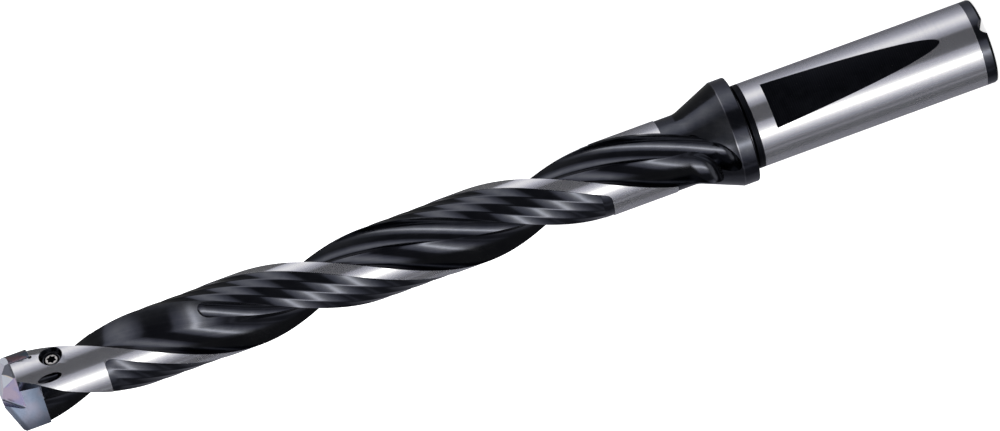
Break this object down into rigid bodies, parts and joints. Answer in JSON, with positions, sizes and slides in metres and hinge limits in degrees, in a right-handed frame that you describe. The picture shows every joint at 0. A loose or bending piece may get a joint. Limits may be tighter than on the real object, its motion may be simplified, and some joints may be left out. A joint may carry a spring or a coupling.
{
  "type": "indexable drill",
  "caption": "Twist drill holder with two helical flutes, a collar and a flatted shank, tipped with an exchangeable cutting insert that a side screw clamps.",
  "frame": {"origin": "centre of the shank's rear end face", "axes": "+Z along the drill's axis from the shank to the cutting point, -Y towards the side with the clamp screw"},
  "size_m": [0.02, 0.02, 0.191],
  "materials": {
    "ground_steel": "ground bright on the shank and lands, black oxide in the flutes, reliefs and collar",
    "coated_carbide": "iridescent blue-grey coating",
    "screw_steel": "plain satin steel"
  },
  "bodies": {
    "root": {"drill_body": "ground_steel", "cutting_insert": "coated_carbide", "clamp_screw": "screw_steel"}
  },
  "joints": []
}
